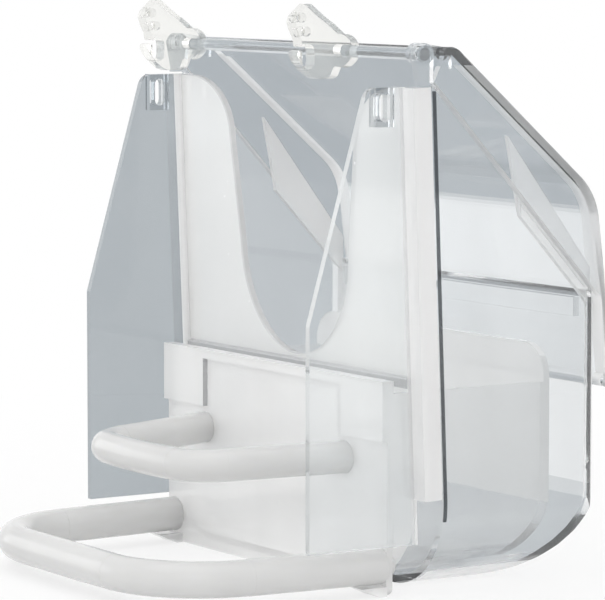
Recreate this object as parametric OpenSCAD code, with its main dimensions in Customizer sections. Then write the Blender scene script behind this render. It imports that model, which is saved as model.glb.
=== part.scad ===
// Hooded seed feeder that hangs on the outside of a bird cage.
// X runs across the feeder, Y from the cage side to the back, Z up.
// The origin is the middle of the housing's flat bottom, on which it stands.

/* [Housing] */
// Width across the side walls
housing_w = 100; // [90:1:120]
// Depth from the front top corner to the back wall's outer face
housing_d = 43; // [40:0.5:50]
// Height of the front top corners
housing_h = 106; // [102:0.5:116]
// Height of the back wall
back_h = 59.5; // [56:0.5:64]
// Thickness of the housing's walls
wall = 1.6; // [1.3:0.1:1.9]
// Outer radius of the rounded corners along the trough's bottom
trough_r = 20; // [17:0.5:23]
// Outer radius of the upright back corners
back_corner_r = 4; // [3:0.5:6]
// Outer radius of the bottom back edge
heel_r = 25; // [18:0.5:27]
// How far the front edge falls back from top to bottom
front_lean = 4; // [3:0.25:5]
// Height of the lip that the hood's cheeks close over, at its front
lap_h = 10; // [8:0.5:10.5]
// Thickness of that lip
lap_t = 1.1; // [0.8:0.1:1.4]
// Distance of the lip's front end from the housing's front corner
lap_start = 20; // [19:0.5:22]
// Height of the thick band along the back wall's top
band_h = 4; // [3:0.5:6]
// Outer radius of the ears round the hanger rod
ear_r = 2.3; // [2.1:0.1:3.3]

/* [Hood] */
// Thickness of the hood's walls
hood_t = 1.4; // [1.2:0.1:1.6]
// Distance of the hood's front edge behind the rod's axis
hood_front = 5.6; // [5.6:0.1:7]
// Depth of the flat crest behind the hood's front edge
crest_w = 2.3; // [2:0.1:3]
// Outer radius of the bend from the crest into the slope
crest_r = 4; // [3:0.5:5]
// Height of the hood's crest above the rod's axis
hood_rise = 1.4; // [0.8:0.1:1.6]
// Drop of the slope from the crest to the bend at the back
slope_drop = 31.1; // [29:0.1:34]
// Height of the back panel from the bend down to the lift lip
hood_back_h = 39.8; // [36:0.1:43]
// How far the back panel flares out from top to bottom
hood_flare = 5.2; // [4.2:0.1:5.6]
// Radius of the bend at the back
bend_r = 14; // [8:0.5:16]
// Radius of the bead along the lift lip
lip_r = 1.4; // [1:0.1:1.8]
// Thickness of the hood's eyes on the rod
eye_t = 1.3; // [1:0.1:1.6]

/* [Rod] */
// Radius of the hanger rod
rod_r = 1.3; // [1.1:0.05:1.5]
// Distance of the rod's axis in front of the housing's front corner
rod_out = 2; // [1.5:0.1:2.5]
// Height of the rod's axis above the housing's front corner
rod_up = 5.5; // [5.3:0.1:6.5]
// Radius of the rod's end heads
head_r = 1.9; // [1.8:0.1:2.6]
// Thickness of the rod's end heads
head_t = 0.6; // [0.4:0.1:1]

/* [Front plate] */
// Thickness of the front plate
plate_t = 1.6; // [1.3:0.1:1.9]
// Height of the front plate's lower edge
plate_z = 42.8; // [41:0.1:46]
// Height of the stiff bar along that edge
bar_h = 2.2; // [1.6:0.1:3]
// How far that bar stands proud of the plate
bar_t = 1.2; // [0.8:0.1:1.6]
// Height of the feeding opening's lowest point above the lower edge
sill_h = 3.3; // [2.8:0.1:6]
// Half width of the feeding opening above its round bottom
bell_low = 21.3; // [17:0.1:23]
// Height of the opening's round bottom
bell_round = 23; // [18:0.5:27]
// Half width of the feeding opening where its flare starts
bell_mid = 24.5; // [23.5:0.1:28]
// Half width of the feeding opening at the top
bell_top = 40.5; // [34:0.5:41]
// Height of the flare at the opening's top
bell_flare = 13; // [9:0.5:16]

/* [Wings] */
// Width of the rail that joins a wing to the housing's edge
rail_w = 5.45; // [5:0.05:6]
// Thickness of the rail's webs
rail_t = 1.2; // [1:0.1:1.4]
// Depth of the groove in which the plate's edge stands
groove = 2.45; // [1.8:0.05:3]
// Thickness of a wing
wing_t = 1.5; // [1.2:0.1:1.8]
// How far the wings reach in front of the housing's front corner
wing_out = 26.9; // [22:0.1:30]
// Height where a wing's slanted edge meets its upright edge
wing_knee = 57; // [50:1:64]
// How far a wing's top reaches forward
wing_top_out = 13; // [12.4:0.1:15]
// Gap between the housing's front corner and a wing's top
wing_down = 1.2; // [0.8:0.1:2]
// Radius of a wing's top front corner
wing_round = 3; // [2:0.1:4]
// Width of the wire slot in a wing
slot_w = 2.5; // [2:0.1:3]
// Height of the wire slot
slot_h = 6; // [5:0.5:8]
// Distance of the wire slot in front of the housing's front corner
slot_out = 9.2; // [8.8:0.1:9.4]
// Thickness of the lug round the slot beyond the wing's faces
lug_t = 0.6; // [0.4:0.1:0.8]
// Width of the lug's rim round the slot
lug_rim = 1; // [0.6:0.1:1.2]

/* [Seed cup] */
// Room between the cup's back wall and the housing's back wall
cup_room = 7.5; // [6.9:0.1:12.9]
// Distance of the front panel in front of the housing's front corner
cup_out = 7; // [6.6:0.1:8]
// Height of the front panel
panel_h = 44.6; // [42:0.1:47]
// Gap between the cup's side walls and the front plate above them
side_drop = 0.8; // [0.5:0.1:3]
// Height of the cup's back wall above the front plate's lower edge
catch_h = 7.2; // [5:0.1:9]
// Thickness of the cup's walls
cup_t = 1.5; // [1.2:0.1:1.8]
// Outer radius of the trough's bottom corners
cup_r = 17; // [15:0.5:20]
// Radius of the back wall's top corners
catch_r = 7; // [4:0.5:9]
// Radius of the front panel's bottom corners
panel_r = 2; // [1:0.5:2.5]
// Width of the stiff pads above the upper perch
pad_w = 17; // [12:0.5:20]
// Height of those pads
pad_h = 10.6; // [8:0.1:11]
// How far pads and rim stand proud of the front panel
pad_t = 1.2; // [0.8:0.1:1.6]
// Height of the rim along the panel's top
rim_h = 2; // [1.4:0.1:2.6]
// Width of the feet under the lower perch's roots
foot_w = 6; // [4:0.5:8]
// How far the feet reach forward of the panel
foot_out = 6; // [4:0.5:9]

/* [Perches] */
// Radius of the lower perch
low_r = 3.8; // [3.4:0.05:4]
// Gap under the lower perch
low_clear = 2.3; // [2:0.05:3]
// Reach of the lower perch in front of the cup's panel
low_reach = 50.2; // [44:0.1:56]
// Distance of the lower perch's roots from the cup's sides
low_inset = 2.65; // [2.6:0.05:5.6]
// Radius of the lower perch's corners
low_corner_r = 20.9; // [17:0.1:24]
// Radius of the upper perch
up_r = 3.45; // [3:0.05:3.6]
// Height of the upper perch's axis
up_z = 27.2; // [26:0.1:28]
// Reach of the upper perch in front of the cup's panel
up_reach = 32.8; // [28:0.1:38]
// Distance of the upper perch's roots from the cup's sides
up_inset = 16.15; // [14.5:0.05:18.6]
// Radius of the upper perch's corners
up_corner_r = 9; // [7:0.1:12]
// Radius of the pegs that plug the perches into the cup
peg_r = 2; // [1.6:0.1:2.4]
// How far the pegs stand out behind the cup's panel
peg_out = 1.2; // [0.8:0.1:1.5]

/* [Hooks] */
// Width of a hook along the rod
hook_w = 3.5; // [3:0.1:5]
// Outer radius of a hook's eye on the rod
eye_r = 3.5; // [3.2:0.1:3.8]
// Reach of a hook's beak in front of the rod's axis
hook_reach = 12.5; // [12.2:0.1:12.9]
// Radius of the cage wire that a hook takes
wire_r = 1.5; // [1.3:0.05:1.6]
// Distance from the rod's axis forward to the wire's axis
wire_out = 9.2; // [9:0.1:9.4]
// Travel of the wire in its seat
seat_h = 2.2; // [1.8:0.1:2.6]
// Radius of the dimples in a hook's faces
dimple_r = 1; // [0.6:0.1:1.2]
// Depth of the dimples
dimple_depth = 0.8; // [0.4:0.1:1.2]
// Distance of the left hook from the hood's eye beside it
hook_end = 2.2; // [0.5:0.1:4]
// Distance between the two hooks' middles
hook_spacing = 62.1; // [40:0.1:80]

/* [Fits] */
// Gap between pieces that lie beside each other
gap = 0.3; // [0.25:0.01:0.32]
// Gap on each side of the plate in its grooves
slip = 0.15; // [0.1:0.01:0.2]
// Radial clearance of the eyes on the rod
run = 0.06; // [0.02:0.01:0.09]

/* [Hidden] */
$fn = 64;

// Overrun of every cut, and the sink that joins solids of one piece
over = 1;
sink = 0.2;
// How much thinner the perches' corners are, so that their ends sink cleanly into the rod
corner_step = 0.04;

// Angles of the perches' bowed fronts and splayed arms, in degrees
low_bow = 1.65;
low_splay = 3.9;
up_bow = 6;
up_splay = 14;
up_droop = 1.5;

// Places that several pieces share, measured from the housing's front top corner
half_w = housing_w / 2;
inner_half = half_w - wall;
lean = atan(front_lean / housing_h);
rod_z = housing_h + rod_up;
wing_in = half_w - rail_w;
wing_top = housing_h - wing_down;
plate_half = wing_in + groove;
cup_half = wing_in - gap;
cup_floor = wall + gap;
cup_back = housing_d - wall - cup_room;
cup_heel = heel_r - wall - cup_room;
panel_back = cup_t - cup_out;
back_y = -gap - rail_t;
plate_back = back_y - slip;
plate_front = plate_back - plate_t;
guide_front = plate_front - slip - rail_t;
low_z = low_clear + low_r;
wing_low = low_z + low_r + 2 * gap;
left_hook_x = -(inner_half - gap - eye_t - hook_end - hook_w / 2);
right_hook_x = left_hook_x + hook_spacing;

// The hood's outline in the side view: front edge, crest, bend and lift lip
flare_a = atan(hood_flare / hood_back_h);
hood_f = [hood_front - rod_out, rod_z + hood_rise];
hood_c = hood_f + [crest_w, 0];
bend_z = hood_c.y - slope_drop;
skin = hood_t / cos(flare_a);
bend_y = housing_d + gap + skin - hood_flare * (bend_z - back_h) / hood_back_h;
hood_b = [bend_y, bend_z];
hood_l = [bend_y + hood_flare, bend_z - hood_back_h];

// Height of the side walls' slanted top edge at a depth y
function slant_z(y) = housing_h - (housing_h - back_h) * y / housing_d;
function unit(v) = v / norm(v);

// Points of the arc that rounds the corner b between a and c
function corner(a, b, c, r, n = 12) =
    let(u = unit(a - b), v = unit(c - b), half = acos(u * v) / 2)
    let(mid = b + unit(u + v) * r / sin(half), s = b + u * r / tan(half), e = b + v * r / tan(half))
    [for (k = [0 : n]) mid + r * unit((s - mid) * (1 - k / n) + (e - mid) * k / n)];

// Radius of a perch's bowed front, from its roots' distance from the centre, its reach, corner and angles
function bow_radius(root, reach, corner_r, bow, splay) =
    let(side = root + corner_r * (sin(bow) - cos(splay)))
    let(run_out = tan(splay) * (reach - corner_r * (cos(bow) - sin(splay))))
    (side - run_out) / (sin(bow) - tan(splay) * (1 - cos(bow)));

low_root = cup_half - low_inset;
up_root = cup_half - up_inset;
low_bow_r = bow_radius(low_root, low_reach, low_corner_r, low_bow, low_splay);
up_bow_r = bow_radius(up_root, up_reach, up_corner_r, up_bow, up_splay);

// Places a piece so that the origin is the middle of the flat bottom
module place() {
    translate([0, -(front_lean + housing_d - heel_r) / 2, 0]) children();
}

// Extrudes an outline of the side view from x0 to x1
module side_slab(x0, x1) {
    translate([x0, 0, 0]) rotate([90, 0, 90]) linear_extrude(x1 - x0) children();
}

// Extrudes an outline of the front view from y0 to y1
module front_slab(y0, y1) {
    translate([0, y1, 0]) rotate([90, 0, 0]) linear_extrude(y1 - y0) children();
}

// Tips what stands upright into line with the housing's leaning front edge
module leaning() {
    translate([0, 0, housing_h]) rotate([lean, 0, 0]) translate([0, 0, -housing_h]) children();
}

// Trough outline: straight sides and two round bottom corners
module trough(half, low, high, r) {
    translate([-half, low + r]) square([2 * half, high - low - r]);
    translate([r - half, low]) square([2 * (half - r), r + sink]);
    for (s = [-1, 1]) translate([s * (half - r), low + r]) circle(r);
}

// Plan outline with two round corners at the back
module round_back(half, front, back, r) {
    translate([-half, front]) square([2 * half, back - front - r]);
    translate([r - half, front]) square([2 * (half - r), back - front]);
    for (s = [-1, 1]) translate([s * (half - r), back - r]) circle(r);
}

// Side outline of the housing, drawn in by t, with its round heel
module housing_side(t, rise) {
    back = housing_d - t;
    r = heel_r - t;
    front = t > 0 ? -over : 0;
    polygon(concat(
        [[front, slant_z(front) + rise], [t > 0 ? front : front_lean, t]],
        corner([0, t], [back, t], [back, back_h], r),
        [[back, slant_z(back) + rise]]));
}

// Solid of the housing's outside at t = 0, or of its hollow at t = wall
module housing_hollow(t, rise) {
    top = housing_h + rise + over;
    intersection() {
        front_slab(-over, housing_d + over) trough(half_w - t, t, top, trough_r - t);
        linear_extrude(top) round_back(half_w - t, -over, housing_d - t, back_corner_r - t);
        side_slab(-housing_w, housing_w) housing_side(t, rise);
    }
}

// Lip inside the slanted edge that the hood's cheek closes over, tallest at its front
module lap_lip() {
    low = 2 * wall;
    y0 = lap_start + lap_h / 3;
    y1 = housing_d - wall;
    side_slab(inner_half - gap - lap_t, inner_half - gap)
        polygon([[y0, slant_z(y0) - low], [y1, slant_z(y1) - low], [y1, slant_z(y1) + lap_h / 2],
                 [lap_start, slant_z(lap_start) + lap_h]]);
    side_slab(inner_half - gap - sink, inner_half + sink)
        polygon([[y0, slant_z(y0) - low], [y1, slant_z(y1) - low], [y1, slant_z(y1) - low / 4],
                 [y0, slant_z(y0) - low / 4]]);
}

// Ear that carries the rod on one side wall
module housing_ear() {
    foot_z = wing_top + gap;
    back = ear_r - rod_out;
    side_slab(inner_half, half_w) {
        translate([-rod_out, rod_z]) circle(ear_r);
        polygon([[-rod_out - ear_r, rod_z], [-rod_out - ear_r / 2, foot_z], [0, foot_z],
                 [wall, housing_h - 2 * ear_r], [ear_r, slant_z(ear_r) - ear_r],
                 [back, slant_z(back)], [back, rod_z]]);
    }
}

module housing() {
    color([0.80, 0.84, 0.87, 0.5]) place() {
        difference() {
            union() {
                difference() {
                    housing_hollow(0, 0);
                    housing_hollow(wall, housing_h);
                }
                for (s = [0, 1]) mirror([s, 0, 0]) {
                    lap_lip();
                    housing_ear();
                }
                front_slab(housing_d - 2 * wall, housing_d - wall + sink)
                    translate([-inner_half + back_corner_r, back_h - band_h])
                    square([2 * (inner_half - back_corner_r), band_h]);
            }
            translate([-half_w - over, -rod_out, rod_z]) rotate([0, 90, 0])
                cylinder(h = housing_w + 2 * over, r = rod_r + run);
        }
    }
}

// Where the line through p along u meets the line through q along v
function inward(v) = [v.y, -v.x];
function meet(p, u, q, v) = p + u * (((q - p) * inward(v)) / (u * inward(v)));

// The hood's outer line, drawn in by t, as the points from its front edge to its lip
function hood_line(t) =
    let(u = unit(hood_b - hood_c), v = unit(hood_l - hood_b))
    let(front = hood_f - [0, t], c = meet(front, [1, 0], hood_c + inward(u) * t, u))
    let(lip = hood_l + inward(v) * t, b = meet(c, u, lip, v))
    concat([front], corner(front, c, b, crest_r - t), corner(c, b, lip, bend_r - t), [lip]);

function reversed(p) = [for (k = [len(p) - 1 : -1 : 0]) p[k]];

module hood_skin() {
    intersection() {
        union() {
            side_slab(-half_w, half_w) polygon(concat(hood_line(0), reversed(hood_line(hood_t))));
            side_slab(-half_w, half_w) translate(hood_f + [hood_t / 2, -hood_t]) circle(hood_t);
            side_slab(-half_w + lip_r, half_w - lip_r) translate(hood_l - [lip_r, 0]) circle(lip_r);
        }
        linear_extrude(2 * housing_h) round_back(half_w, 0, hood_l.x, back_corner_r);
    }
}

// Cheek that closes one side between the slope and the housing's slanted edge
module hood_cheek() {
    y0 = ear_r - rod_out + gap;
    y1 = housing_d + gap;
    intersection() {
        side_slab(inner_half, half_w)
            polygon(concat([[y0, slant_z(y0) + 2 * gap]], hood_line(hood_t / 2),
                           [[y1, back_h + gap]]));
        side_slab(inner_half - over, half_w + over)
            polygon([[y0, 2 * housing_h], [y0, slant_z(y0) + 2 * gap], [housing_d, back_h + 2 * gap],
                     [2 * housing_d, back_h + 2 * gap], [2 * housing_d, 2 * housing_h]]);
        linear_extrude(2 * housing_h) round_back(half_w, 0, hood_l.x, back_corner_r);
    }
}

// Eye and arm that hang one side of the hood on the rod
module hood_eye() {
    arm_y = hood_f.x + ear_r;
    side_slab(inner_half - gap - eye_t, inner_half - gap) {
        translate([-rod_out, rod_z]) circle(ear_r);
        polygon([[-rod_out, rod_z + ear_r], [hood_f.x, hood_f.y], [arm_y, hood_f.y - ear_r],
                 [arm_y, hood_f.y - 2 * ear_r], [-rod_out, rod_z - ear_r]]);
    }
}

module hood() {
    color([0.66, 0.71, 0.76, 0.5]) place() {
        difference() {
            union() {
                hood_skin();
                for (s = [0, 1]) mirror([s, 0, 0]) {
                    hood_cheek();
                    hood_eye();
                }
            }
            translate([-half_w - over, -rod_out, rod_z]) rotate([0, 90, 0])
                cylinder(h = housing_w + 2 * over, r = rod_r + run);
        }
    }
}

module hanger_rod() {
    reach = half_w + gap;
    color([0.75, 0.79, 0.82, 0.6]) place() translate([0, -rod_out, rod_z]) rotate([0, 90, 0]) {
        translate([0, 0, -reach]) cylinder(h = 2 * reach, r = rod_r);
        for (s = [-1, 1]) translate([0, 0, s * (reach + head_t / 2) - head_t / 2])
            cylinder(h = head_t, r = head_r);
    }
}

// Half of the bell-shaped feeding opening, from its lowest point to its flared top
bell_z = plate_z + sill_h;
flare_z = wing_top - bell_flare;
bell_half = concat(
    [for (a = [0 : 7.5 : 90]) [bell_low * sin(a), bell_z + bell_round * (1 - cos(a))]],
    [for (a = [0 : 9 : 90])
        [bell_mid + (bell_top - bell_mid) * (1 - cos(a)), flare_z + bell_flare * sin(a)]],
    [[bell_top, wing_top + over]]);

module front_plate() {
    color([0.90, 0.91, 0.92, 0.75]) place() leaning() {
        front_slab(plate_front, plate_back) difference() {
            translate([-plate_half + slip, plate_z])
                square([2 * (plate_half - slip), wing_top - plate_z]);
            polygon(concat(bell_half, [for (p = reversed(bell_half)) [-p.x, p.y]]));
        }
        front_slab(plate_front - bar_t, plate_front + sink)
            translate([gap - wing_in, plate_z]) square([2 * (wing_in - gap), bar_h]);
    }
}

// Right wing: its sheet, its lug round the wire slot and its rail with the plate's groove
module wing() {
    front = -wing_out;
    slot_z = wing_top - lug_rim - slot_h / 2;
    top_y = -wing_top_out;
    tip = [top_y, wing_top];
    knee = [front, wing_knee];
    rail_y = guide_front + rail_t / 2;
    low_y = rail_y + front_lean * (1 - wing_low / housing_h);
    place() difference() {
        union() {
            side_slab(wing_in, wing_in + wing_t)
                polygon(concat([[rail_y, wing_top]], corner([0, wing_top], tip, knee, wing_round),
                               [knee, [front, wing_low], [low_y, wing_low]]));
            side_slab(wing_in - lug_t, wing_in + wing_t + lug_t)
                translate([-slot_out - slot_w / 2 - lug_rim, slot_z - slot_h / 2 - lug_rim])
                square([slot_w + 2 * lug_rim, slot_h + 2 * lug_rim]);
            leaning() translate([0, 0, trough_r]) linear_extrude(wing_top - trough_r) {
                translate([wing_in, guide_front]) square([rail_w, rail_t]);
                translate([wing_in, back_y]) square([rail_w, rail_t]);
                translate([plate_half, guide_front]) square([rail_w - groove, -gap - guide_front]);
            }
        }
        side_slab(0, half_w) {
            translate([-slot_out - slot_w / 2, slot_z - slot_h / 2 + slot_w / 2])
                square([slot_w, slot_h - slot_w]);
            for (s = [-1, 1]) translate([-slot_out, slot_z + s * (slot_h - slot_w) / 2]) circle(slot_w / 2);
        }
    }
}

module left_wing() {
    color([0.68, 0.73, 0.78, 0.5]) mirror([1, 0, 0]) wing();
}

module right_wing() {
    color([0.68, 0.73, 0.78, 0.5]) wing();
}

// Solid of the trough's outside at t = 0, or of its hollow at t = cup_t, with its round heel
module cup_hollow(t, front, top) {
    low = cup_floor + t;
    back = cup_back - t;
    intersection() {
        front_slab(front, back) trough(cup_half - t, low, top, cup_r - t);
        side_slab(-half_w, half_w)
            polygon(concat([[front, top], [front, low]],
                           corner([front, low], [back, low], [back, top], cup_heel - t), [[back, top]]));
    }
}

// Front panel, trough and raised back wall of the cup, before the peg holes
module cup_body() {
    catch_top = plate_z + catch_h;
    front_slab(-cup_out, panel_back) trough(cup_half, 0, panel_h, panel_r);
    difference() {
        union() {
            cup_hollow(0, panel_back - sink, plate_z - side_drop);
            front_slab(cup_back - cup_t, cup_back) intersection() {
                translate([-cup_half, cup_floor + cup_heel]) square([2 * cup_half, catch_top]);
                translate([0, catch_top]) mirror([0, 1]) trough(cup_half, 0, panel_h, catch_r);
            }
        }
        cup_hollow(cup_t, panel_back - over, catch_top + over);
    }
    front_slab(-cup_out - pad_t, sink - cup_out)
        translate([-cup_half, panel_h - rim_h]) square([2 * cup_half, rim_h]);
    for (s = [0, 1]) mirror([s, 0, 0]) {
        front_slab(-cup_out - pad_t, sink - cup_out)
            translate([cup_half - pad_w, panel_h - rim_h - pad_h]) square([pad_w, pad_h + sink]);
        side_slab(cup_half - foot_w, cup_half)
            polygon([[sink - cup_out, 0], [-cup_out - foot_out / 4, 0],
                     [-cup_out - foot_out, low_clear - gap], [sink - cup_out, low_clear - gap]]);
    }
}

module seed_cup() {
    color([0.88, 0.90, 0.91, 0.6]) place() difference() {
        cup_body();
        for (s = [-1, 1]) for (p = [[low_root, low_z], [up_root, up_z]])
            translate([s * p.x, panel_back + peg_out + over, p.y]) rotate([90, 0, 0])
                cylinder(h = cup_t + peg_out + 2 * over, r = peg_r + run);
    }
}

// Perch loop of round rod: bowed front, two corners, two splayed arms and two pegs
module perch(reach, bow_r, corner_r, r, z, bow, splay, droop, root) {
    front = -cup_out - reach;
    root_y = -cup_out - run;
    cx = sin(bow) * (bow_r - corner_r);
    cy = front + bow_r - cos(bow) * (bow_r - corner_r);
    arm = (root_y - cy + corner_r * sin(splay)) / cos(splay);
    extra = asin(sink / corner_r);
    place() translate([0, 0, z]) {
        difference() {
            translate([0, root_y, 0]) rotate([droop, 0, 0]) translate([0, -root_y, 0]) {
                translate([0, front + bow_r, 0]) rotate([0, 0, -90 - bow])
                    rotate_extrude(angle = 2 * bow) translate([bow_r, 0]) circle(r);
                for (s = [0, 1]) mirror([s, 0, 0]) {
                    translate([cx, cy, 0]) rotate([0, 0, bow - 90 - extra])
                        rotate_extrude(angle = 90 - bow - splay + 2 * extra)
                        translate([corner_r, 0]) circle(r - corner_step);
                    translate([cx + corner_r * cos(splay), cy - corner_r * sin(splay), 0])
                        rotate([-90, 0, -splay]) cylinder(h = arm + r, r = r);
                }
            }
            translate([-half_w, root_y, -2 * r]) cube([housing_w, 4 * r, 4 * r]);
        }
        for (s = [-1, 1]) translate([s * root, root_y - r, 0]) rotate([-90, 0, 0])
            cylinder(h = r + run + cup_t + peg_out, r = peg_r);
    }
}

module upper_perch() {
    color([0.86, 0.86, 0.82, 0.85])
        perch(up_reach, up_bow_r, up_corner_r, up_r, up_z, up_bow, up_splay, up_droop, up_root);
}

module lower_perch() {
    color([0.84, 0.84, 0.83, 0.85])
        perch(low_reach, low_bow_r, low_corner_r, low_r, low_z, low_bow, low_splay, 0, low_root);
}

// Outline of a hook round the rod's axis, from crown over beak and mouth to jaw, as shares of its reach
hook_shares = [[0, 0.27], [-0.21, 0.44], [-0.42, 0.58], [-0.68, 0.785], [-0.74, 0.79],
               [-0.88, 0.665], [-0.97, 0.58], [-1, 0.49], [-0.96, 0.36], [-0.88, 0.20],
               [-0.86, 0.085], [-0.79, 0.05], [-0.79, 0], [-0.86, 0], [-0.90, 0.02],
               [-0.95, 0], [-0.96, -0.06], [-0.90, -0.18], [-0.78, -0.31], [-0.62, -0.43],
               [-0.52, -0.46], [-0.24, -0.46], [-0.16, -0.42], [-0.08, -0.25]];
// Places of the two dimples in a hook's faces, as shares of its reach
dimple_shares = [[-0.86, 0.56], [-0.77, 0.33]];

module hook(x) {
    place() translate([x - hook_w / 2, -rod_out, rod_z]) difference() {
        side_slab(0, hook_w) difference() {
            union() {
                circle(eye_r);
                polygon(hook_shares * hook_reach);
            }
            circle(rod_r + run);
            translate([-wire_out, 0]) circle(wire_r);
            translate([-wire_out, -seat_h]) circle(wire_r);
            translate([-wire_out - wire_r, -seat_h]) square([2 * wire_r, seat_h]);
        }
        for (d = dimple_shares) {
            side_slab(-over, dimple_depth) translate(d * hook_reach) circle(dimple_r);
            side_slab(hook_w - dimple_depth, hook_w + over) translate(d * hook_reach) circle(dimple_r);
        }
    }
}

module left_hook() {
    color([0.86, 0.86, 0.80, 0.7]) hook(left_hook_x);
}

module right_hook() {
    color([0.86, 0.86, 0.80, 0.7]) hook(right_hook_x);
}

housing();
hood();
hanger_rod();
front_plate();
left_wing();
right_wing();
seed_cup();
upper_perch();
lower_perch();
left_hook();
right_hook();
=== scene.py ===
import math

import bmesh
import bpy
from mathutils import Matrix, Vector


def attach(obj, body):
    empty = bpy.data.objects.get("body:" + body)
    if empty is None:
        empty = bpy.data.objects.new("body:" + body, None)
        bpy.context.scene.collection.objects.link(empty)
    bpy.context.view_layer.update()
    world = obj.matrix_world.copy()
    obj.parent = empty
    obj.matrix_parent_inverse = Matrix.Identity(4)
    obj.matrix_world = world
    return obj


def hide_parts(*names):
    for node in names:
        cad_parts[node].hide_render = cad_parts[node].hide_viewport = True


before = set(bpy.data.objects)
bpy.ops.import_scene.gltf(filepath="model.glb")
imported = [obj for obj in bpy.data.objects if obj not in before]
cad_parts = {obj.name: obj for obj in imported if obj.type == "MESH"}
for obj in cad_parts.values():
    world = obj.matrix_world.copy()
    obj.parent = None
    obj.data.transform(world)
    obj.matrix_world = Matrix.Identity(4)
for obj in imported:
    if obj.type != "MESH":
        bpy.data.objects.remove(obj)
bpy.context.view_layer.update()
scene = bpy.context.scene
scene.view_settings.view_transform = "Standard"

MM = 0.001
# Height and depth of the housing's front top corner, and the way its leaning front faces
CORNER_TOP = 106 * MM
FRONT = -11 * MM
FRONT_FACE = Vector((0, 106, 4)).normalized()
# Points on the leaning planes in front of the wings' rails and just behind the housing's front edge
RAIL_FRONT = Vector((0, FRONT - 4.62 * MM, CORNER_TOP))
BEHIND_FRONT = Vector((0, FRONT + 0.95 * MM, CORNER_TOP))


# Camera

def make_camera():
    """The photograph's view, fitted to the housing's straight edges and the perches."""
    lens = bpy.data.cameras.new("camera")
    lens.sensor_fit = "HORIZONTAL"
    lens.sensor_width = 36
    lens.lens = 219.24
    lens.clip_start = 0.05
    lens.clip_end = 20
    camera = bpy.data.objects.new("camera", lens)
    right = Vector((0.53524, 0.84470, 0.0)).normalized()
    back = Vector((0.84073, -0.53272, 0.09689)).normalized()
    up = back.cross(right)
    turn = Matrix((right, up, back)).transposed().to_4x4()
    camera.matrix_world = Matrix.Translation((0.66748, -0.43334, 0.13426)) @ turn
    scene.collection.objects.link(camera)
    scene.camera = camera


make_camera()


# Small helpers for node trees

def add(tree, kind, **settings):
    """A new node with its settings."""
    node = tree.nodes.new(kind)
    for name, value in settings.items():
        setattr(node, name, value)
    return node


def join(tree, out, into):
    tree.links.new(out, into)


def value_of(tree, operation, a, b):
    """Outcome of a sum on two numbers or outputs."""
    node = add(tree, "ShaderNodeMath", operation=operation)
    for socket, item in zip(node.inputs, (a, b)):
        if isinstance(item, (int, float)):
            socket.default_value = item
        else:
            join(tree, item, socket)
    return node.outputs[0]


def blend_colour(tree, factor, a, b, mode="MIX"):
    """Colour a blended with colour b; each, and the factor, is a plain value or an output."""
    node = add(tree, "ShaderNodeMix", data_type="RGBA", blend_type=mode)
    for name, item in ((0, factor), (6, a), (7, b)):
        if isinstance(item, (int, float)):
            node.inputs[name].default_value = item
        elif isinstance(item, tuple):
            node.inputs[name].default_value = (*item, 1.0)
        else:
            join(tree, item, node.inputs[name])
    return node.outputs[2]


def in_sight(tree):
    """1 for what is seen directly, in a reflection or through a piece, and 0 for light on a surface."""
    path = add(tree, "ShaderNodeLightPath")
    seen = value_of(tree, "MAXIMUM", path.outputs["Is Camera Ray"], path.outputs["Is Glossy Ray"])
    return value_of(tree, "MAXIMUM", seen, path.outputs["Is Transmission Ray"])


# Materials

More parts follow.
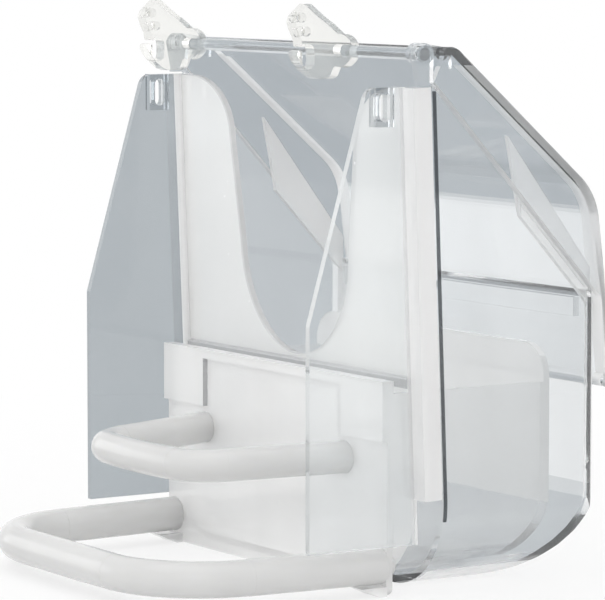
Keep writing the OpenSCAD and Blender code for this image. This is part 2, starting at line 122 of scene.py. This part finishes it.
def moulded_finish_and_edge_shade():
    """Finish of moulded plastic: flow streaks, faint cloudiness and fine scuffs, and darker sheet edges,
    partly the sheet's own and partly painted shade for dark surroundings seen through them.
    """
    group = bpy.data.node_groups.new("moulded finish", "ShaderNodeTree")
    face = group.interface
    for name, way, kind in (
        ("Place", "INPUT", "NodeSocketVector"),
        ("Sheet", "INPUT", "NodeSocketColor"),
        ("Edge", "INPUT", "NodeSocketColor"),
        ("Edge Mask", "INPUT", "NodeSocketFloat"),
        ("Cloud", "INPUT", "NodeSocketFloat"),
        ("Gloss", "INPUT", "NodeSocketFloat"),
        ("Scuffs", "INPUT", "NodeSocketFloat"),
        ("Ripple", "INPUT", "NodeSocketFloat"),
        ("Colour", "OUTPUT", "NodeSocketColor"),
        ("Roughness", "OUTPUT", "NodeSocketFloat"),
        ("Normal", "OUTPUT", "NodeSocketVector"),
    ):
        face.new_socket(name=name, in_out=way, socket_type=kind)
    start = add(group, "NodeGroupInput")
    end = add(group, "NodeGroupOutput")
    # Long flow streaks, stretched upright
    stretch = add(group, "ShaderNodeMapping")
    stretch.inputs["Scale"].default_value = (60, 60, 9)
    join(group, start.outputs["Place"], stretch.inputs["Vector"])
    streaks = add(group, "ShaderNodeTexNoise", noise_dimensions="3D")
    streaks.inputs["Scale"].default_value = 1.0
    streaks.inputs["Detail"].default_value = 3.0
    join(group, stretch.outputs[0], streaks.inputs["Vector"])
    # Faint cloudiness, together with the streaks
    clouds = add(group, "ShaderNodeTexNoise")
    clouds.inputs["Scale"].default_value = 34.0
    clouds.inputs["Detail"].default_value = 4.0
    join(group, start.outputs["Place"], clouds.inputs["Vector"])
    cloud = value_of(group, "ADD", clouds.outputs["Fac"], streaks.outputs["Fac"])
    cloud = value_of(group, "SUBTRACT", cloud, 1.0)
    cloud = value_of(group, "MULTIPLY", cloud, start.outputs["Cloud"])
    light = value_of(group, "ADD", cloud, 1.0)
    shade = add(group, "ShaderNodeCombineColor")
    for part in range(3):
        join(group, light, shade.inputs[part])
    sheet = blend_colour(group, 1.0, start.outputs["Sheet"], shade.outputs[0], "MULTIPLY")
    # Sheet edges take the edge colour: partly the sheet's own darker edge, partly painted shade
    colour = blend_colour(group, start.outputs["Edge Mask"], sheet, start.outputs["Edge"])
    join(group, colour, end.inputs["Colour"])
    # Scuffs roughen small patches
    scuffs = add(group, "ShaderNodeTexNoise")
    scuffs.inputs["Scale"].default_value = 420.0
    scuffs.inputs["Detail"].default_value = 5.0
    scuffs.inputs["Roughness"].default_value = 0.7
    join(group, start.outputs["Place"], scuffs.inputs["Vector"])
    worn = add(group, "ShaderNodeMapRange")
    worn.inputs["From Min"].default_value = 0.5
    worn.inputs["From Max"].default_value = 0.8
    join(group, scuffs.outputs["Fac"], worn.inputs["Value"])
    worn = value_of(group, "MULTIPLY", worn.outputs[0], start.outputs["Scuffs"])
    join(group, value_of(group, "ADD", worn, start.outputs["Gloss"]), end.inputs["Roughness"])
    # Slow ripple of a moulded sheet with the streaks on it
    fine = value_of(group, "MULTIPLY", streaks.outputs["Fac"], 0.6)
    height = value_of(group, "ADD", clouds.outputs["Fac"], fine)
    bump = add(group, "ShaderNodeBump")
    bump.inputs["Distance"].default_value = 0.0006
    join(group, start.outputs["Ripple"], bump.inputs["Strength"])
    join(group, height, bump.inputs["Height"])
    join(group, bump.outputs[0], end.inputs["Normal"])
    return group


finish_and_edge_shade = moulded_finish_and_edge_shade()
# What all the plastics share; the low index keeps thin walls clear
CLOUD, SCUFFS, RIPPLE, COAT, INDEX = 0.1, 0.1, 0.1, 0.5, 1.15
# Share of the smoke on the way in through a wall; the rest comes on the way out
SMOKE_IN = 0.04


def plastic(name, sheet, edge, smoke=None, clear=0.9, gloss=0.04, milk=0.0):
    """Clear or milky plastic, by the colours of its sheet, its edges and the smoke seen through it."""
    material = bpy.data.materials.new(name)
    material.use_nodes = True
    tree = material.node_tree
    shader = tree.nodes["Principled BSDF"]
    place = add(tree, "ShaderNodeTexCoord")
    edges = add(tree, "ShaderNodeAttribute", attribute_name="edge")
    group = add(tree, "ShaderNodeGroup", node_tree=finish_and_edge_shade)
    join(tree, place.outputs["Object"], group.inputs["Place"])
    join(tree, edges.outputs["Fac"], group.inputs["Edge Mask"])
    group.inputs["Sheet"].default_value = (*sheet, 1.0)
    group.inputs["Edge"].default_value = (*edge, 1.0)
    group.inputs["Cloud"].default_value = CLOUD
    group.inputs["Gloss"].default_value = gloss
    group.inputs["Scuffs"].default_value = SCUFFS
    group.inputs["Ripple"].default_value = RIPPLE
    colour = group.outputs["Colour"]
    if smoke:
        veil = add(tree, "ShaderNodeAttribute", attribute_name="veil")
        side = add(tree, "ShaderNodeNewGeometry")
        path = add(tree, "ShaderNodeLightPath")
        seen = value_of(tree, "MULTIPLY", side.outputs["Backfacing"], 1 - SMOKE_IN)
        seen = value_of(tree, "ADD", seen, SMOKE_IN)
        seen = value_of(tree, "MULTIPLY", seen, veil.outputs["Fac"])
        # Light that a piece inside has scattered leaves without smoke, so the inside stays bright
        sight = value_of(tree, "LESS_THAN", path.outputs["Diffuse Depth"], 0.5)
        seen = value_of(tree, "MULTIPLY", seen, sight)
        colour = blend_colour(tree, seen, colour, smoke)
    join(tree, colour, shader.inputs["Base Color"])
    join(tree, group.outputs["Roughness"], shader.inputs["Roughness"])
    join(tree, group.outputs["Normal"], shader.inputs["Normal"])
    shader.inputs["Metallic"].default_value = 0.0
    shader.inputs["Transmission Weight"].default_value = clear
    shader.inputs["IOR"].default_value = INDEX
    shader.inputs["Coat Weight"].default_value = COAT
    if milk:
        shader.inputs["Subsurface Weight"].default_value = milk
        shader.inputs["Subsurface Radius"].default_value = (0.004, 0.004, 0.0036)
    return material


# Smoke of the walls and the cup, of the wings and of the hood
SMOKE = (0.25, 0.285, 0.315)
WING_SMOKE = (0.20, 0.232, 0.258)
HOOD_SMOKE = (0.2, 0.232, 0.26)
clear_body = plastic("clear body", (0.96, 0.97, 0.975), (0.02, 0.022, 0.025), SMOKE, clear=0.95)
smoky_clear = plastic("smoky clear", (0.94, 0.955, 0.965), (0.16, 0.18, 0.2), HOOD_SMOKE, clear=0.95)
smoky_wing = plastic("smoky wing", (0.95, 0.965, 0.97), (0.4, 0.43, 0.45), WING_SMOKE, clear=0.95)
clear_rod = plastic("clear rod", (0.72, 0.75, 0.77), (0.5, 0.54, 0.57), clear=0.85)
# Pale rails; on the housing's lips and the hood's seam the same pale colour is a painted highlight
pale_rail_and_highlight = plastic("pale rail and highlight", (0.95, 0.95, 0.95), (0.5, 0.51, 0.52), clear=0.42, gloss=0.1)
# Painted highlight: a pale band along the heel's outline, where the wall turns away
painted_rim_highlight = plastic("painted rim highlight", (0.97, 0.975, 0.98), (0.02, 0.022, 0.025), clear=0.2, gloss=0.1)
frosted_plate = plastic("frosted plate", (0.965, 0.965, 0.96), (0.5, 0.51, 0.52), clear=0.55, gloss=0.2)
clear_cup = plastic("clear cup", (0.965, 0.965, 0.962), (0.42, 0.43, 0.44), clear=0.4, gloss=0.14)
cup_side = plastic("cup side", (0.96, 0.965, 0.968), (0.42, 0.43, 0.44), SMOKE, clear=0.85, gloss=0.08)
milky_perch = plastic("milky perch", (0.77, 0.77, 0.765), (0.7, 0.7, 0.69), clear=0.2, gloss=0.1, milk=0.4)
clear_hook = plastic("clear hook", (0.93, 0.93, 0.91), (0.62, 0.62, 0.6), clear=0.85, gloss=0.06)


# Pieces

# Distances from the middle plane where marks change: the hood's seam and end, the lips and the side walls
SEAM, HOOD_END = 45.4 * MM, 47.2 * MM
LIP_INSIDE, LIP_MIDDLE, LIP_OUTSIDE = 46.5 * MM, 48.2 * MM, 48.3 * MM
WALL_INSIDE, WALL_OUTSIDE = 48.5 * MM, 49.3 * MM
# Free part of the housing's lower front corners: outwards of this, and below this height
CORNER_INSIDE, CORNER_END = 36 * MM, 19 * MM
# Heights: end of the cup's round bottom, hood's lower end, foot of the housing's ears, top of the hood's seam
CUP_BOTTOM, HOOD_FOOT, EAR_FOOT, SEAM_TOP = 26 * MM, 58 * MM, 104 * MM, 109 * MM
# The housing's front edges lie in front of this depth
FRONT_ZONE = FRONT + 9 * MM
# Middle of the housing; outer faces look away from it
MIDDLE = Vector((0, FRONT + 21.5 * MM, 60 * MM))
ACROSS, BACK, UP = (1, 0, 0), (0, 1, 0), (0, 0, 1)
# Turns between two faces: still one flat face, a smooth bend, the end of a strip, and an edge to round
FLAT = 0.01
SMOOTH, STRIP_END, ROUNDED = (math.radians(turn) for turn in (15, 25, 30))
# A face with more than this share of its normal across the part looks sideways
SIDEWAYS = 0.8
# How dark the sheet edges are, partly their own colour and partly painted shade: most of them, faint ones,
# those of the rails and those of the side walls
EDGE, FAINT_EDGE, RAIL_EDGE, WALL_EDGE = 0.4, 0.06, 0.1, 0.3
# Points closer than this are one
NEAR = 1e-6


def bend(edge):
    """Angle between the two faces at an edge, or zero."""
    if len(edge.link_faces) != 2:
        return 0.0
    return edge.calc_face_angle(0.0)


def mark_edges(bm, thin, weight):
    """Marks every narrow strip of faces between sharp edges as a sheet edge, by the weight of its place."""
    layer = bm.faces.layers.float.new("edge")
    todo = set(bm.faces)
    while todo:
        first = todo.pop()
        strip, rim, queue = [first], 0.0, [first]
        while queue:
            here = queue.pop()
            for e in here.edges:
                if bend(e) > STRIP_END:
                    rim += e.calc_length()
                    continue
                for other in e.link_faces:
                    if other in todo:
                        todo.discard(other)
                        strip.append(other)
                        queue.append(other)
        area = sum(f.calc_area() for f in strip)
        width = 2 * area / rim if rim else 1.0
        for f in strip:
            f[layer] = weight(f.calc_center_median(), f.normal) if width < thin else 0.0
    return layer


def mark_veil(bm, smoke):
    """Marks how smoky a face looks on the way out, by its place and the way it faces; on the housing and
    hood, less smoke on some faces is painted reflection and highlight.
    """
    layer = bm.faces.layers.float.new("veil")
    for f in bm.faces:
        place = f.calc_center_median()
        out = f.normal.dot(place - MIDDLE) > 0
        f[layer] = smoke(place, f.normal) if out else 0.0


def housing_edges(place, normal):
    """Heel, free corners below the rails, front edge behind them, lips and slanted edges."""
    if place.z < HOOD_FOOT and place.y > FRONT_ZONE:
        return 0.05
    if place.y < FRONT_ZONE:
        free_corner = place.z < CORNER_END and abs(place.x) > CORNER_INSIDE
        return 0.75 if free_corner else FAINT_EDGE
    if place.y > FRONT + 36 * MM and place.z > 54 * MM:
        return EDGE
    return RAIL_EDGE if abs(place.x) < LIP_MIDDLE else WALL_EDGE


def front_shade_line(place, normal):
    """Black line of painted shade down the outer side walls, behind their front edge."""
    in_front = (place - BEHIND_FRONT).dot(FRONT_FACE) < 0
    return abs(place.x) > WALL_OUTSIDE and abs(normal.x) > 0.9 and in_front and place.z < EAR_FOOT


def housing_rims(place, normal):
    """Outer front edge, painted as a fine dark line of shade, and the slanted edge."""
    if place.y < FRONT_ZONE and place.z < EAR_FOOT:
        if abs(place.x) > WALL_OUTSIDE:
            return 1.0
        return WALL_EDGE if abs(place.x) > CORNER_INSIDE else RAIL_EDGE
    slanted = place.y > FRONT + 15 * MM and place.z > 60 * MM and abs(place.x) > LIP_MIDDLE
    return 0.5 if slanted else 0.12


def reflection_by_facing(normal, bare=0.12, full=1.0):
    """Little smoke on a face that looks forward or back, as a painted reflection of the left softbox, and all
    of it on one turned away.

    It sets in at a turn of some 7 degrees and is full at some 18."""
    sets_in, span = 0.992, 0.04
    turned = min(max((sets_in - abs(normal.y)) / span, 0.0), 1.0)
    return bare + (full - bare) * turned


def inner_side(place, normal):
    """Sideways faces further in than the side walls."""
    return abs(place.x) < WALL_INSIDE and abs(normal.x) > SIDEWAYS


def housing_smoke_and_reflections(place, normal):
    """None further in, little round the corners beside the side walls as a painted highlight, and the rest by
    the way a wall faces, with painted reflection on walls facing forward or back.
    """
    if inner_side(place, normal):
        return 0.0
    if abs(place.x) > 45.5 * MM and abs(normal.x) < 0.97:
        back_corner = place.y > FRONT + 38 * MM and abs(normal.x) > 0.3
        return 0.3 if back_corner else 0.05
    return reflection_by_facing(normal, 0.17, 0.95)


def hood_edges(place, normal):
    """Faint all round the hood."""
    return FAINT_EDGE


def hood_smoke_and_reflections(place, normal):
    """None further in, none along the hood's ends as a painted highlight, and the rest by the way a face
    looks, with painted reflection on faces looking forward or back.
    """
    at_end = abs(place.x) > 47 * MM and abs(normal.x) < SIDEWAYS
    return 0.0 if inner_side(place, normal) or at_end else reflection_by_facing(normal)


def on_rail(place, normal):
    """The rails and their webs, behind the wings' sheets."""
    return (place - RAIL_FRONT).dot(FRONT_FACE) > 0


def wing_edges(place, normal):
    """Sheet edges, darker round the wire slot."""
    if on_rail(place, normal):
        return RAIL_EDGE
    round_slot = place.z > 94 * MM and place.y > FRONT - 12 * MM
    return 0.8 if round_slot else EDGE


def wing_smoke(place, normal):
    """All over the wings' sheets."""
    return 1.0 if abs(normal.x) > SIDEWAYS and not on_rail(place, normal) else 0.0


def plate_edges(place, normal):
    """The stiff bar along the bottom, and the bell-shaped opening's edge."""
    on_bar = place.z < 46 * MM
    return 0.9 if on_bar else 0.6


def cup_edges(place, normal):
    """Steps of the pads and the rim on the front panel, and the cup's own edges."""
    on_panel = place.y < FRONT - 5 * MM and place.z > 20 * MM
    return 0.85 if on_panel else 0.35


def cup_smoke(place, normal):
    """The cup's round bottom."""
    return 0.4 if abs(normal.x) < SIDEWAYS and place.z < CUP_BOTTOM and place.y > FRONT else 0.0


def plain(place, normal):
    """Sheet edges of a piece that needs nothing else."""
    return EDGE


def none(place, normal):
    """No smoke."""
    return 0.0


def crease(bm):
    """Keeps the shading flat on wide flat faces, and smooth over the narrow facets of a bend."""
    wide = {f: 2 * f.calc_area() > 5 * MM * f.calc_perimeter() for f in bm.faces}
    for e in bm.edges:
        turn = bend(e)
        e.smooth = turn < SMOOTH and not (turn > FLAT and any(wide[f] for f in e.link_faces))


def finished(bm, name, materials, body, node):
    """The piece that stands for a CAD node, on its body, with the CAD node hidden."""
    crease(bm)
    mesh = bpy.data.meshes.new(name)
    bm.to_mesh(mesh)
    bm.free()
    for material in materials:
        mesh.materials.append(material)
    piece = bpy.data.objects.new(name, mesh)
    scene.collection.objects.link(piece)
    for polygon in mesh.polygons:
        polygon.use_smooth = True
    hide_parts(node)
    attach(piece, body)
    return piece


def housing_highlights(place, normal):
    """1 on the lips that the hood's cheeks close over, pale as a painted highlight, and 2 for a painted
    highlight where the wall turns away round the heel.
    """
    on_lip = LIP_INSIDE < abs(place.x) < LIP_OUTSIDE
    if on_lip and place.z > HOOD_FOOT and place.y > FRONT + 18 * MM:
        return 1
    inwards = normal.y < -0.05 or normal.z > 0.05
    if place.z > HOOD_FOOT or place.y < FRONT + 8 * MM or inwards:
        return 0
    # How far the wall has still to turn to the outline in the photograph
    turn = abs(normal.x) - 0.63 * normal.y + 0.115 * normal.z
    return 2 if -0.25 < turn < 0.5 and abs(place.x) > 30 * MM else 0


def on_seam(place, normal):
    """The hood's slope and back close to its cheeks, pale as a painted highlight line."""
    return abs(place.x) > SEAM and abs(normal.x) < SIDEWAYS and place.z < SEAM_TOP and place.y > FRONT


def on_cup_side(place, normal):
    """The cup's side walls and round bottom, behind its front panel."""
    round_bottom = normal.z < -0.1 or (normal.z > 0.1 and place.z < CUP_BOTTOM)
    return place.y > FRONT and (abs(normal.x) > SIDEWAYS or round_bottom)


def dressed(node, name, material, body, edges=plain, smoke=none, rims=None, rounding=0.25, thin=2.2,
            shades=True, others=(), part=None, cuts=(), lines=None):
    """A copy of a CAD node with rounded edges, and with its sheet edges and smoke marked.

    edges, rims and smoke weigh the sheet edges, their rounding and the smoke by place and normal; lines
    tells which faces are a dark line of painted shade, and part which material a face has; marks may change
    at the cuts.
    rounding and thin, the width up to which a strip of faces is a sheet edge, are in millimetres."""
    bm = bmesh.new()
    bm.from_mesh(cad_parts[node].data)
    bmesh.ops.remove_doubles(bm, verts=bm.verts, dist=NEAR)
    bmesh.ops.dissolve_limit(bm, angle_limit=FLAT, verts=bm.verts, edges=bm.edges)
    for point, way in cuts:
        everything = bm.verts[:] + bm.edges[:] + bm.faces[:]
        bmesh.ops.bisect_plane(bm, geom=everything, plane_co=point, plane_no=way)
    bm.normal_update()
    layer = mark_edges(bm, thin * MM, edges)
    for f in bm.faces:
        if lines and lines(f.calc_center_median(), f.normal):
            f[layer] = 1.0
    mark_veil(bm, smoke)
    if rounding:
        sharp = [e for e in bm.edges if bend(e) > ROUNDED]
        made = bmesh.ops.bevel(bm, geom=sharp, offset=rounding * MM, offset_type="OFFSET", affect="EDGES",
                               segments=2, profile=0.5, clamp_overlap=True, material=-1)
        bm.normal_update()
        for f in made["faces"]:
            place = f.calc_center_median()
            narrow = 2 * f.calc_area() < 1.8 * rounding * MM * f.calc_perimeter()
            if narrow:
                f[layer] = rims(place, f.normal) if rims else 0.7 * edges(place, f.normal)
    bmesh.ops.dissolve_degenerate(bm, dist=NEAR, edges=bm.edges)
    if part:
        for f in bm.faces:
            f.material_index = int(part(f.calc_center_median(), f.normal))
    piece = finished(bm, name, [material, *others], body, node)
    piece.visible_shadow = shades
    return piece


def both_sides(*reaches):
    """Upright cutting planes at the same distances left and right."""
    return [((side * reach, 0, 0), ACROSS) for side in (-1, 1) for reach in reaches]


dressed("housing", "housing_shell", clear_body, "feeder", housing_edges, housing_smoke_and_reflections,
        housing_rims, rounding=0.3, shades=False, others=(pale_rail_and_highlight, painted_rim_highlight), part=housing_highlights,
        lines=front_shade_line, cuts=[(BEHIND_FRONT, FRONT_FACE), ((0, 0, EAR_FOOT), UP), *both_sides(LIP_INSIDE)])
dressed("hood", "hood_cover", smoky_clear, "hood", hood_edges, hood_smoke_and_reflections, shades=False,
        others=(pale_rail_and_highlight,), part=on_seam, cuts=[((0, 0, SEAM_TOP), UP), *both_sides(SEAM, HOOD_END)])
dressed("hanger_rod", "rod", clear_rod, "feeder", rounding=0.15, thin=0.1)
dressed("front_plate", "front_window", frosted_plate, "feeder", plate_edges, shades=False)
for wing in ("left_wing", "right_wing"):
    dressed(wing, wing + "_panel", smoky_wing, "feeder", wing_edges, wing_smoke, shades=False,
            others=(pale_rail_and_highlight,), part=on_rail, cuts=[(RAIL_FRONT, FRONT_FACE)])
dressed("seed_cup", "cup_shell", clear_cup, "cup", cup_edges, cup_smoke, shades=False,
        others=(cup_side,), part=on_cup_side, cuts=[((0, FRONT, 0), BACK)])
for perch in ("upper_perch", "lower_perch"):
    dressed(perch, perch + "_loop", milky_perch, "cup", rounding=0, thin=0.1)
for hook in ("left_hook", "right_hook"):
    dressed(hook, hook + "_body", clear_hook, hook, shades=False)


# Stage

# The world's light on surfaces; where the world is seen, it is plain white
AMBIENT = 0.82
# Point that the lamps aim at
AIM = Vector((0, 10.5 * MM, 60 * MM))


def white_world():
    """Plain white where it is seen, and a little dimmer as a light."""
    world = bpy.data.worlds.new("studio")
    scene.world = world
    world.use_nodes = True
    tree = world.node_tree
    back = tree.nodes["Background"]
    level = value_of(tree, "MULTIPLY_ADD", in_sight(tree), 1 - AMBIENT)
    level.node.inputs[2].default_value = AMBIENT
    back.inputs["Color"].default_value = (1, 1, 1, 1)
    join(tree, level, back.inputs["Strength"])


def white_floor():
    """Floor that takes a soft shadow near the part, and is as white as the world further out."""
    bm = bmesh.new()
    bmesh.ops.create_grid(bm, x_segments=1, y_segments=1, size=4)
    mesh = bpy.data.meshes.new("floor")
    bm.to_mesh(mesh)
    bm.free()
    floor = bpy.data.objects.new("floor", mesh)
    scene.collection.objects.link(floor)
    material = bpy.data.materials.new("white floor")
    material.use_nodes = True
    tree = material.node_tree
    shader = tree.nodes["Principled BSDF"]
    shader.inputs["Base Color"].default_value = (0.9, 0.9, 0.9, 1)
    shader.inputs["Roughness"].default_value = 0.8
    shader.inputs["Specular IOR Level"].default_value = 0.1
    glow = add(tree, "ShaderNodeEmission")
    mix = add(tree, "ShaderNodeMixShader")
    # The shadow shows near the object and fades out round it
    place = add(tree, "ShaderNodeTexCoord")
    reach = add(tree, "ShaderNodeVectorMath", operation="LENGTH")
    join(tree, place.outputs["Object"], reach.inputs[0])
    fade = add(tree, "ShaderNodeMapRange", interpolation_type="SMOOTHSTEP")
    fade.inputs["From Min"].default_value = 0.08
    fade.inputs["From Max"].default_value = 0.3
    fade.inputs["To Min"].default_value = 0.7
    fade.inputs["To Max"].default_value = 1.0
    join(tree, reach.outputs["Value"], fade.inputs["Value"])
    join(tree, value_of(tree, "MULTIPLY", in_sight(tree), fade.outputs[0]), mix.inputs[0])
    join(tree, shader.outputs[0], mix.inputs[1])
    join(tree, glow.outputs[0], mix.inputs[2])
    join(tree, mix.outputs[0], tree.nodes["Material Output"].inputs["Surface"])
    mesh.materials.append(material)


def softbox(name, direction, distance, size, radiance):
    """Soft lamp that gives the stated radiance over its area."""
    lamp = bpy.data.lights.new(name, "AREA")
    lamp.shape = "RECTANGLE"
    lamp.size, lamp.size_y = size
    lamp.energy = radiance * math.pi * size[0] * size[1]
    box = bpy.data.objects.new(name, lamp)
    way = Vector(direction).normalized()
    box.location = AIM + way * distance
    box.rotation_euler = way.to_track_quat("Z", "Y").to_euler()
    scene.collection.objects.link(box)


white_world()
white_floor()
softbox("left softbox", (-0.84, -0.53, 0.1), 1.0, (0.8, 0.6), 1.2)
softbox("top softbox", (0.1, -0.2, 1.0), 1.3, (1.2, 1.2), 1.0)
softbox("right fill", (0.75, -0.6, 0.45), 1.6, (0.8, 0.8), 1.3)
